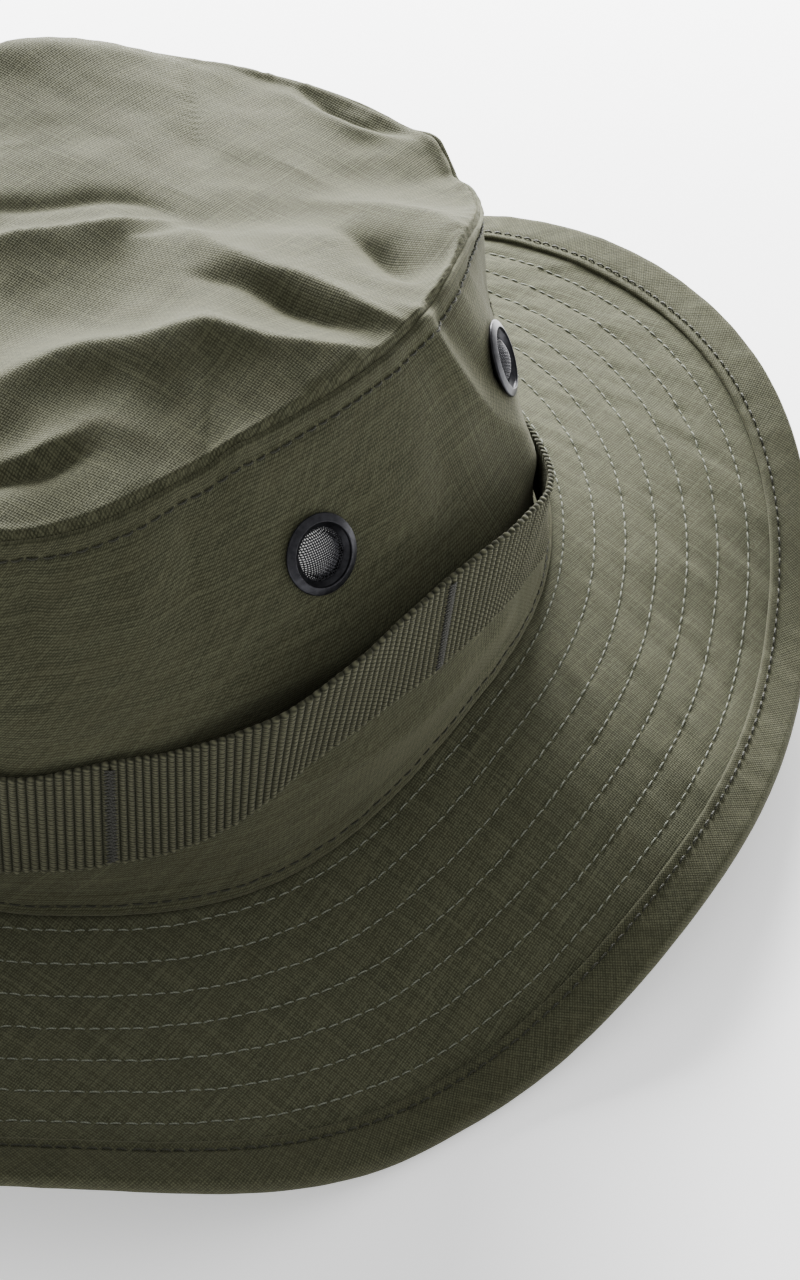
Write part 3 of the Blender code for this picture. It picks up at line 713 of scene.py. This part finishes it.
def floor_look(name):
    """A pale sweep that glows as painted light, more the further back it runs, in place of light falling on
    it from behind.
    """
    look = Look(name, 0.75, specular=0.2)
    where = look.object_place()
    mottle = look.noise(where, 18.0, 4.0, 0.6)
    look.colour(look.mix(mottle, (0.90, 0.90, 0.905), (0.93, 0.93, 0.935)))
    back = look.add("ShaderNodeSeparateXYZ", Vector=where).outputs[1]
    glow = look.add("ShaderNodeMapRange", {"interpolation_type": "SMOOTHSTEP"}, Value=back,
                    From_Min=0.12, From_Max=0.6, To_Min=0.5, To_Max=4.0).outputs[0]
    # Painted light: the floor glows, though it is no lamp.
    look.put(look.shader.inputs["Emission Color"], (1.0, 1.0, 1.0, 1.0))
    look.put(look.shader.inputs["Emission Strength"], glow)
    return look.material


def make_looks():
    # The brim and the crown are one cloth: the brim's is painted lighter as painted light, and the crown's is
    # painted darker as painted shade.
    crown_shaded_drab = (0.018, 0.019, 0.010), (0.062, 0.064, 0.037), (0.045, 0.041, 0.021)
    brim_lit_drab = (0.022, 0.023, 0.013), (0.072, 0.075, 0.045), (0.051, 0.048, 0.026)
    tape_drab = (0.019, 0.020, 0.011), (0.061, 0.063, 0.036), (0.044, 0.041, 0.021)
    dark_drab = (0.016, 0.017, 0.0091), (0.038, 0.040, 0.023), (0.032, 0.029, 0.016)
    cream = (0.35, 0.35, 0.31), (0.62, 0.61, 0.56), (0.55, 0.53, 0.45)
    return {
        "crown": woven("olive_ripstop_crown", *crown_shaded_drab),
        "brim": woven("olive_ripstop_brim", *brim_lit_drab),
        "binding": woven("olive_bias_tape", *tape_drab, turn=math.radians(45), grid=False),
        "sweatband": woven("cotton_sweatband", *dark_drab, pitch=0.4, grid=False),
        "label": woven("care_label_tape", *cream, pitch=0.3, grid=False),
        "webbing": webbing_look("olive_webbing", (0.006, 0.0065, 0.0035), (0.085, 0.085, 0.052)),
        "light thread": thread_look("grey_green_thread", (0.060, 0.066, 0.050), (0.200, 0.212, 0.165)),
        "dark thread": thread_look("dark_olive_thread", (0.0054, 0.0059, 0.0036), (0.034, 0.035, 0.022)),
        "tack thread": thread_look("tack_thread", (0.010, 0.010, 0.009), (0.045, 0.045, 0.038)),
        "brass": metal_look("blackened_brass", (0.009, 0.009, 0.011), (0.032, 0.032, 0.036), 0.34),
        "screen": metal_look("blackened_screen", (0.012, 0.012, 0.014), (0.055, 0.055, 0.062), 0.3),
        "interlining": felt_look("interlining_felt", (0.45, 0.44, 0.40), (0.62, 0.61, 0.57)),
        "floor": floor_look("pale_floor"),
    }


# ---- pieces

def place(piece, slot, node, thickness=0.0):
    """Puts a piece on the hat in place of its CAD node. A sheet gets its cloth's thickness, inwards."""
    if thickness:
        solidify = piece.modifiers.new("thickness", "SOLIDIFY")
        solidify.thickness = thickness * MM
        solidify.offset = -1.0
    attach(piece, "root")
    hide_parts(node)


def profile(*parts):
    """Rows of a cross-section, joined from lists of (place, offset)."""
    return np.vstack([np.asarray(part, float).reshape(-1, 2) for part in parts])


def span_rows(start, end, count, offset=0.0):
    return np.column_stack([np.linspace(start, end, count), np.full(count, offset)])


def make_crown_side(looks):
    """The wall's cloth, turned under at the brim and turned in at the top."""
    hem = [(0.05, -0.9), (0.015, -0.9), (0.002, -0.7), (-0.006, -0.1), (-0.006, 0.6), (-0.001, 1.05),
           (0.006, 1.25), (0.014, 1.2), (0.022, 0.95), (0.03, 0.8), (0.038, 0.75), (0.05, 0.5), (0.065, 0.25)]
    head = [(0.945, 0), (0.955, 0), (0.9635, 0), (0.972, 0), (0.98, 0.08), (0.987, 0.25), (0.993, 0.36),
            (0.998, 0.3), (1.001, 0.05), (1.002, -0.3), (1, -0.75), (0.985, -0.9), (0.95, -0.9), (0.91, -0.9)]
    rows = profile(hem, span_rows(0.075, 0.935, 96), head)

    def surface(angle, row):
        return wall(angle, rows[row, 0], rows[row, 1])

    def flat(angle, row):
        return angle * (92 - 14 * rows[row, 0]), rows[row, 0] * WALL_HEIGHT

    piece = ring("crown_side_cloth", surface, len(rows), 760, flat, looks["crown"])
    pierce(piece)
    place(piece, "crown_cloth", "crown_side", CLOTH)


def pierce(piece):
    """Cuts the four vent holes out of the wall cloth, with a round edge under each flange."""
    skin = bmesh.new()
    skin.from_mesh(piece.data)
    hole = VENT_HOLE * MM
    for angle in vent_angles().values():
        centre, axis = vent_frame(angle)
        centre = Vector(centre * MM)
        near = [v for v in skin.verts if (v.co - centre).length < hole]
        bmesh.ops.delete(skin, geom=near, context="VERTS")
        for vertex in skin.verts:
            offset = vertex.co - centre
            if vertex.is_boundary and offset.length < 1.4 * hole:
                vertex.co = centre + offset * (hole / offset.length)
    skin.to_mesh(piece.data)
    skin.free()


def make_crown_top(looks):
    """A square grid bent to the oval, with its outer tenth kept for the welt, seam and allowance."""
    size, inner, welt_start, outer_stretch = 221, 0.9, 0.965, 1.35
    u, v = np.meshgrid(*[np.linspace(-1, 1, size)] * 2)
    x, y = u * np.sqrt(1 - v * v / 2), v * np.sqrt(1 - u * u / 2)
    angle, radius = np.arctan2(y, x), np.hypot(x, y)
    outer = welt_start + (radius - inner) * outer_stretch
    spread = np.where(radius < inner, radius / inner * welt_start, outer)
    points = crown_top(angle, np.minimum(spread, 1.0))
    over = np.maximum(spread - 1.0, 0.0) / 0.1
    _, outward = oval(CROWN_HALF_LENGTH, CROWN_HALF_WIDTH, angle)
    points += outward * (-0.45 - 0.7 * np.clip(over * 3, 0, 1))[..., None] * (spread > 0.985)[..., None]
    points[..., 2] += 0.9 - 7.0 * over
    quads = patch_quads(size, size)
    points = points.reshape(-1, 3)
    piece = make_mesh("crown_top_cloth", points, quads, points[quads][:, :, :2], looks["crown"])
    place(piece, "crown_cloth", "crown_top", CLOTH)


def brim_flat(rows):
    """The brim's cloth laid flat: the weave runs straight across the whole ring."""

    def flat(angle, row):
        foot, outward = seam(angle)
        laid = foot + outward * (rows[row, 0] * BRIM_WIDTH)[..., None]
        return laid[..., 0], laid[..., 1]

    return flat


def make_brim_cloths(looks):
    """Both faces of the brim, with their allowances turned up inside the crown."""
    allowance = [(-0.016, 7.5), (-0.016, 4.0), (-0.016, 1.0), (-0.012, 0.2)]
    rows = profile(allowance, span_rows(-0.004, CLOTH_EDGE, 92))

    def upper(angle, row):
        return brim(angle, rows[row, 0], rows[row, 1])

    piece = ring("brim_upper_cloth", upper, len(rows), 960, brim_flat(rows), looks["brim"], flip=True)
    place(piece, "brim_cloth", "brim_upper", CLOTH)

    under_rows = rows - np.array([0.012, 0.0])
    under_rows[len(allowance):, 0] = rows[len(allowance):, 0]

    def under(angle, row):
        relief = brim_relief(angle, under_rows[row, 0])
        lift = under_rows[row, 1] - BRIM_STACK + CLOTH - 1.6 * np.minimum(relief, 0.25)
        return brim(angle, under_rows[row, 0], lift)

    piece = ring("brim_under_cloth", under, len(rows), 960, brim_flat(under_rows), looks["brim"], flip=True)
    place(piece, "brim_cloth", "brim_under", CLOTH)


def make_interlining(looks):
    rows = profile(span_rows(0.01, CLOTH_EDGE - 0.005, 40))

    def surface(angle, row):
        return brim(angle, rows[row, 0], -CLOTH - GAP)

    flat = brim_flat(rows)
    piece = ring("brim_interlining_felt", surface, len(rows), 480, flat, looks["interlining"], flip=True)
    place(piece, "interlining", "brim_interlining", INTERLINING)


def make_binding(looks):
    """A bias tape over the brim's edge, with both its long edges turned under."""
    top, under, inner = 0.45, -BRIM_STACK - 0.1, BINDING_INNER
    above = [(inner + 0.03, 0.15), (inner + 0.006, 0.2), (inner - 0.003, 0.5), (inner, 0.95),
             (inner + 0.009, 1.15), (inner + 0.02, 1.0), (inner + 0.032, 0.72), (inner + 0.045, 0.95)]
    across = span_rows(inner + 0.06, 0.975, 14, top + 0.6)
    middle, half = (top + under) / 2, (top + 1.2 - under) / 2
    bend = [(0.985 + 0.016 * math.sin(t), middle + half * math.cos(t))
            for t in np.linspace(0.25, math.pi - 0.25, 9)]
    below = [(p, under - (h - top) * 0.9) for p, h in profile(above, across)[::-1]]
    rows = profile(above, across, bend, below)

    def surface(angle, row):
        along = round_seam(angle) * 1.6
        pucker = 0.12 * drift(along, rows[row, 0] * 30, 3.2, 11)
        on_brim = brim(angle, np.minimum(rows[row, 0], 1.0), rows[row, 1] + pucker, relief=0.4)
        _, outward = seam(angle)
        past_edge = np.maximum(rows[row, 0] - 1.0, 0.0) * BRIM_WIDTH
        return on_brim + outward * past_edge[..., None]

    lengths = run_of(rows * np.array([BRIM_WIDTH, 1.0]))

    def flat(angle, row):
        return angle * 152.0, lengths[row]

    piece = ring("brim_binding_tape", surface, len(rows), 1000, flat, looks["binding"], flip=True)
    place(piece, "binding_cloth", "brim_edge_binding", BINDING_CLOTH)


def make_sweatband(looks):
    """A band inside the crown, over the three allowances, with both its edges turned under."""
    depth = -3 * (CLOTH + GAP)
    height = SWEATBAND_HEIGHT / WALL_HEIGHT
    rows = profile([(0.02, depth - 0.9), (0.0, depth - 0.7), (-0.004, depth - 0.2), (0.005, depth + 0.1)],
                   span_rows(0.02, height - 0.02, 34, depth),
                   [(height - 0.005, depth + 0.1), (height, depth - 0.2), (height - 0.01, depth - 0.7)])

    def surface(angle, row):
        shift = 0.5 * drift(round_seam(angle), rows[row, 0] * 60, 7, 12)
        relief = wall_relief(angle, rows[row, 0])
        return wall(angle, rows[row, 0], rows[row, 1] - np.maximum(relief, 0) + np.minimum(shift, 0))

    def flat(angle, row):
        return angle * 90.0, rows[row, 0] * WALL_HEIGHT

    piece = ring("sweatband_tape", surface, len(rows), 480, flat, looks["sweatband"])
    place(piece, "sweatband_cloth", "sweatband", CLOTH)


def webbing_line(turn):
    """Angle, lower edge and lean of the webbing: turn counts loops from the first tack."""
    angle = np.interp(turn % LOOPS + 0.0, np.arange(LOOPS + 1), tack_angles())
    lower = around(np.array(LOWER_EDGES).ravel(), turn / LOOPS * TURN)
    lean = around(np.array(LEANS).ravel(), turn / LOOPS * TURN)
    return angle, lower, np.radians(lean)


def tack_angles():
    """Angles that split the webbing into loops of equal length round the wall."""
    fine = np.linspace(FIRST_TACK, FIRST_TACK + TURN, 1441)
    points, _ = oval(HEAD_HALF_LENGTH, HEAD_HALF_WIDTH, fine)
    lengths = run_of(points)
    return np.interp(np.linspace(0, lengths[-1], LOOPS + 1), lengths, fine)


def webbing_point(turn, across, out):
    """A point on the webbing's back face, moved out from it: across runs up its width in mm."""
    angle, lower, lean = webbing_line(turn)
    _, outward = seam(angle)
    base = wall(angle, lower / WALL_HEIGHT)
    up = wall(angle, (lower + 22) / WALL_HEIGHT) - base
    up /= np.linalg.norm(up, axis=-1, keepdims=True)
    face = np.cross(np.cross(up, outward), up)
    face /= np.linalg.norm(face, axis=-1, keepdims=True)
    sine, cosine = np.sin(lean)[..., None], np.cos(lean)[..., None]
    rise, normal = up * cosine + face * sine, face * cosine - up * sine
    point = base + face * WEBBING_GAP + rise * np.asarray(across)[..., None]
    return point + normal * np.asarray(out)[..., None]


def make_webbing(looks):
    """One strap round the wall, with a rib across it every RIB_PITCH and the ribs' ends at its edges."""
    per_rib, front_rows = 6, 64
    ribs = int(WEBBING_LENGTH / RIB_PITCH)
    part = np.linspace(0, math.pi, front_rows)
    across = (1 - np.cos(part) * 0.06 - (1 - 2 * part / math.pi) * 0.94) / 2 * WEBBING_WIDTH
    front = np.column_stack([across, np.full(front_rows, WEBBING_CLOTH)])
    edge = [(WEBBING_WIDTH + 0.25, WEBBING_CLOTH * 0.7), (WEBBING_WIDTH + 0.25, 0.35)]
    low = [(-0.25, 0.35), (-0.25, WEBBING_CLOTH * 0.7)]
    rows = profile(front, edge, span_rows(WEBBING_WIDTH, 0, 10), low)

    def surface(angle, row):
        turn = angle / TURN * LOOPS
        across, out = rows[row, 0], rows[row, 1]
        rib = np.abs(np.sin(angle / TURN * ribs * math.pi)) ** 0.8
        outer = np.clip(out / WEBBING_CLOTH, 0, 1)
        braid = 1 + 0.25 * np.sin(across * TURN / 1.3 + np.floor(angle / TURN * ribs) * 2.2)
        off_centre = across - WEBBING_WIDTH / 2
        edges = np.where(off_centre > 0, 1.0, -1.0) * (np.abs(off_centre) > 12.2)
        return webbing_point(turn, across + 0.3 * rib * edges, out - RIB_HEIGHT * (1 - rib * braid) * outer)

    def flat(angle, row):
        return angle / TURN * ribs * RIB_PITCH, rows[row % len(rows), 0]

    columns = ribs * per_rib
    piece = ring("loop_webbing", surface, len(rows), columns, flat, looks["webbing"], closed_rows=True)
    place(piece, "webbing", "branch_loop_band")


def make_tacks(looks):
    """Each tack is a dense zigzag of thread, two millimetres wide, up the width of the webbing."""
    passes, loop_length = 56, 72.6
    steps = np.arange(passes + 1)
    fine = np.linspace(0, passes, passes * 4 + 1)
    across = np.interp(fine, steps, 0.8 + (WEBBING_WIDTH - 1.6) * steps / passes)
    side = np.interp(fine, steps, np.where(steps % 2 == 0, -1.0, 1.0))
    height = WEBBING_CLOTH + 0.1 + 0.16 * np.abs(np.cos(side * math.pi / 2))
    for number in range(LOOPS):
        turn = number + side / loop_length
        path = webbing_point(turn, across, height)
        angle, _, _ = webbing_line(turn)
        _, outward = seam(angle)
        piece = tubes(f"tack_{number + 1}_thread", path[None], outward[None], 0.2, looks["tack thread"])
        place(piece, "dark_thread", f"bar_tack_{number + 1}")


def make_stitches(looks):
    """The quilting rows, and the three rows of darker stitches along seams and binding."""
    up = np.array([0.0, 0.0, 1.0])

    def on_brim(span, lift, relief=1.0):
        def line(angle):
            points = brim(angle, span, lift, relief)
            return points, np.broadcast_to(up, points.shape)
        return line

    def on_wall(rise, out):
        def line(angle):
            return wall(angle, rise, out), seam(angle)[1]
        return line

    for row in range(BRIM_ROWS):
        line = on_brim((FIRST_ROW + ROW_SPACING * row) / BRIM_WIDTH, 0.12)
        piece = stitched(f"quilting_row_{row + 1}", line, BRIM_PITCH, looks["light thread"], seed=20 + row)
        place(piece, "light_thread", f"brim_stitch_row_{row + 1}")
    binding = on_brim(BINDING_ROW, 0.85, 0.4)
    crown, hem = on_wall(CROWN_TOPSTITCH, 0.12), on_wall(BRIM_TOPSTITCH, 0.85)
    for name, node, line, pitch, thread, lift, seed in (
        ("binding_stitches", "binding_stitch", binding, BRIM_PITCH, 0.45, 0.8, 40),
        ("crown_seam_stitches", "crown_seam_topstitch", crown, SEAM_PITCH, 0.45, 0.8, 41),
        ("brim_seam_stitches", "brim_seam_topstitch", hem, SEAM_PITCH, 0.4, 0.7, 42),
    ):
        piece = stitched(name, line, pitch, looks["dark thread"], seed, thread, lift)
        place(piece, "dark_thread", node)


def vent_angles():
    return {
        "left_front": -VENT_OFFSET,
        "left_rear": VENT_OFFSET,
        "right_rear": TURN / 2 - VENT_OFFSET,
        "right_front": TURN / 2 + VENT_OFFSET,
    }


def vent_frame(angle):
    """Centre and outward axis of a vent on the crown wall."""
    step = 0.04
    centre = wall(angle, VENT_RISE)
    along = wall(angle + step, VENT_RISE) - wall(angle - step, VENT_RISE)
    up = wall(angle, VENT_RISE + step) - wall(angle, VENT_RISE - step)
    axis = np.cross(along, up)
    return centre, axis / np.linalg.norm(axis)


def sideways(axis):
    """Two directions square to an axis, the first one level."""
    side = np.cross(axis, [0, 0, 1.0])
    side /= np.linalg.norm(side)
    return side, np.cross(side, axis)


def turned(name, outline, centre, axis, material):
    """Turns an outline of (radius, height) round the axis. The outline closes on itself."""
    outline = np.asarray(outline, float)
    side, up = sideways(axis)

    def surface(angle, row):
        spoke = side * np.cos(angle)[..., None] + up * np.sin(angle)[..., None]
        return centre + spoke * outline[row, 0][..., None] + axis * outline[row, 1][..., None]

    def flat(angle, row):
        return angle * 6.0, outline[row % len(outline), 0]

    return ring(name, surface, len(outline), 96, flat, material, closed_rows=True)


def arc(centre, radius, start, end, count):
    return [(centre[0] + radius * math.cos(math.radians(t)), centre[1] + radius * math.sin(math.radians(t)))
            for t in np.linspace(start, end, count)]


def make_vents(looks):
    """Each vent is an eyelet clinched over a washer, with a woven screen in it. Heights are off the wall."""
    seat = 0.15
    flange = [
        (5.2, -2.6), (5.2, seat + 0.2), (LIP_RADIUS, seat + 0.45), (LIP_RADIUS, seat + 1.05),
        *arc((LIP_RADIUS + 0.16, seat + 1.07), 0.16, 180, 60, 6),
        *arc((VENT_RADIUS - 0.42, seat + 0.36), 0.42, 66, -70, 12),
        (VENT_RADIUS - 0.5, seat - 0.1), (5.8, seat - 0.1), (5.6, -2.0), (6.5, -2.2), (6.6, -2.5),
        (5.8, -2.9),
    ]
    washer = [(VENT_RADIUS - 0.5, -2.1), (VENT_RADIUS - 0.7, -1.5), (6.1, -1.4), (5.9, -1.6), (5.9, -2.0),
              (6.1, -2.1)]
    for name, angle in vent_angles().items():
        centre, axis = vent_frame(angle)
        eyelet = turned(f"vent_{name}_eyelet", flange[::-1], centre, axis, looks["brass"])
        place(eyelet, "blackened_brass", f"vent_eyelet_{name}")
        backing = turned(f"vent_{name}_washer", washer[::-1], centre, axis, looks["brass"])
        place(backing, "blackened_brass", f"vent_washer_{name}")
        screen = make_screen(f"vent_{name}_screen", centre, axis, looks["screen"])
        place(screen, "woven_screen", f"vent_screen_{name}")


def make_screen(name, centre, axis, material):
    """A domed screen of wires woven over and under one another."""
    reach = LIP_RADIUS - 0.1
    count = int(reach / WIRE_SPACING)
    paths = []
    for direction, (along, aside) in enumerate((sideways(axis), sideways(axis)[::-1])):
        for k in range(-count, count + 1):
            offset = k * WIRE_SPACING
            half = math.sqrt(max(reach**2 - offset**2, 0.2))
            t = np.linspace(-half, half, 81)
            radius = np.hypot(t, offset)
            height = 1.5 * np.clip(1 - (radius / SCREEN_RADIUS) ** 2, 0, 1)
            height -= 0.5 * bump(radius - SCREEN_RADIUS, 0.5)
            height += 0.10 * np.cos(t / WIRE_SPACING * math.pi) * (-1) ** (k + direction)
            paths.append(centre + t[:, None] * along + offset * aside + height[:, None] * axis)
    return tubes(name, np.array(paths), axis, WIRE / 2, material)


def make_label(looks):
    """A blank care label at the back of the sweatband."""
    rises = np.linspace(0.05, 0.3, 24)
    angles = np.linspace(TURN / 4 - 0.13, TURN / 4 + 0.13, 36)
    depth = -4 * (CLOTH + GAP) - 0.2
    angle, rise = np.meshgrid(angles, rises)
    relief = np.maximum(wall_relief(angle, rise), 0)
    crinkle = 0.15 * drift(angle * 90, rise * WALL_HEIGHT, 4, 13)
    points = wall(angle, rise, depth - relief + crinkle).reshape(-1, 3)
    quads = patch_quads(*angle.shape)
    uv = np.stack([angle * 90.0, rise * WALL_HEIGHT], axis=-1).reshape(-1, 2)
    piece = make_mesh("care_label_tape", points, quads, uv[quads], looks["label"])
    place(piece, "label_cloth", "care_label", 0.4)


# ---- scene

VIEW_AZIMUTH = math.radians(32.05)
VIEW_ELEVATION = math.radians(43.99)
VIEW_ROLL = math.radians(0.57)
VIEW_DISTANCE = 695.7
VIEW_SHIFT = (56.4, -30.4)  # of the aim, right and up from the middle of the hat
VIEW_AIM = Vector((-1.2, -0.5, 53.0))
LENS = 92.69
KEY_PLACE = Vector((-0.95, 1.02, 0.60))  # a window behind the hat and to its left, in metres
KEY_SIZE = (1.1, 0.6)
KEY_POWER = 215.0
SKY = 1.05


def make_camera():
    data = bpy.data.cameras.new("camera")
    data.lens = LENS
    data.clip_start = 0.01
    camera = add_object("camera", data)
    turn = Matrix.Rotation(VIEW_AZIMUTH, 4, "Z") @ Matrix.Rotation(math.pi / 2 - VIEW_ELEVATION, 4, "X")
    turn = turn @ Matrix.Rotation(VIEW_ROLL, 4, "Z")
    where = VIEW_AIM + turn @ Vector((*VIEW_SHIFT, VIEW_DISTANCE))
    camera.matrix_world = Matrix.Translation(where * MM) @ turn
    bpy.context.scene.camera = camera


def make_key_light():
    data = bpy.data.lights.new("key", "AREA")
    data.shape = "RECTANGLE"
    data.size, data.size_y = KEY_SIZE
    data.energy = KEY_POWER
    light = add_object("key", data)
    light.location = KEY_PLACE
    light.rotation_euler = (Vector((0, 0, 0.06)) - KEY_PLACE).to_track_quat("-Z", "Y").to_euler()


def make_surroundings(looks):
    bpy.ops.mesh.primitive_plane_add(size=8.0, location=(0, 0, 0))
    floor = bpy.context.object
    floor.name = "floor"
    floor.data.materials.append(looks["floor"])
    world = bpy.data.worlds.new("studio")
    world.use_nodes = True
    background = world.node_tree.nodes["Background"]
    background.inputs["Color"].default_value = (1.0, 1.0, 1.0, 1.0)
    background.inputs["Strength"].default_value = SKY
    bpy.context.scene.world = world
    make_key_light()


looks = make_looks()
make_camera()
for make in (make_crown_top, make_crown_side, make_brim_cloths, make_interlining, make_binding,
             make_sweatband, make_label, make_webbing, make_tacks, make_stitches, make_vents,
             make_surroundings):
    make(looks)
